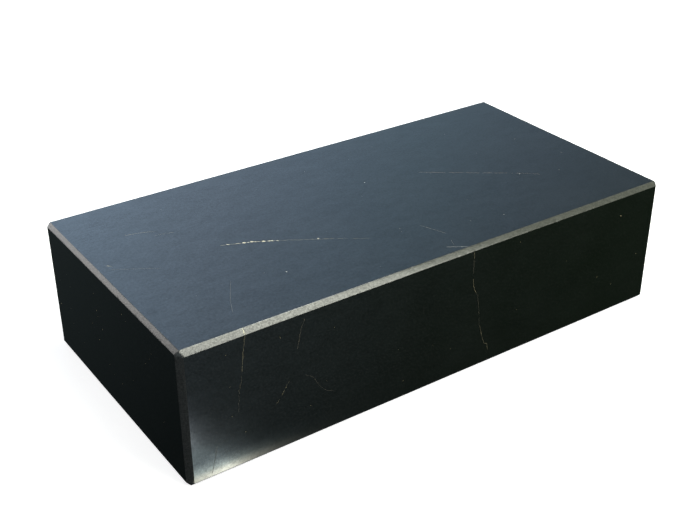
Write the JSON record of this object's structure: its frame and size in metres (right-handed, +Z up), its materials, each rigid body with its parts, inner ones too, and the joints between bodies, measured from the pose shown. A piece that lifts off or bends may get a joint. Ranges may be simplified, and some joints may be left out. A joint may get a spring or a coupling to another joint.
{
  "type": "massage stone block",
  "caption": "Rectangular block of polished dark stone with flat faces and a narrow ground chamfer along every edge, for warm or cool massage.",
  "frame": {"origin": "middle of the underside, the face that the block rests on", "axes": "+X along the block's length towards its right end, +Y across its width from the front side to the back side, +Z up through its thickness"},
  "size_m": [0.2, 0.1, 0.05],
  "materials": {
    "polished_stone": "polished"
  },
  "bodies": {
    "root": {"stone_block": "polished_stone"}
  },
  "joints": []
}
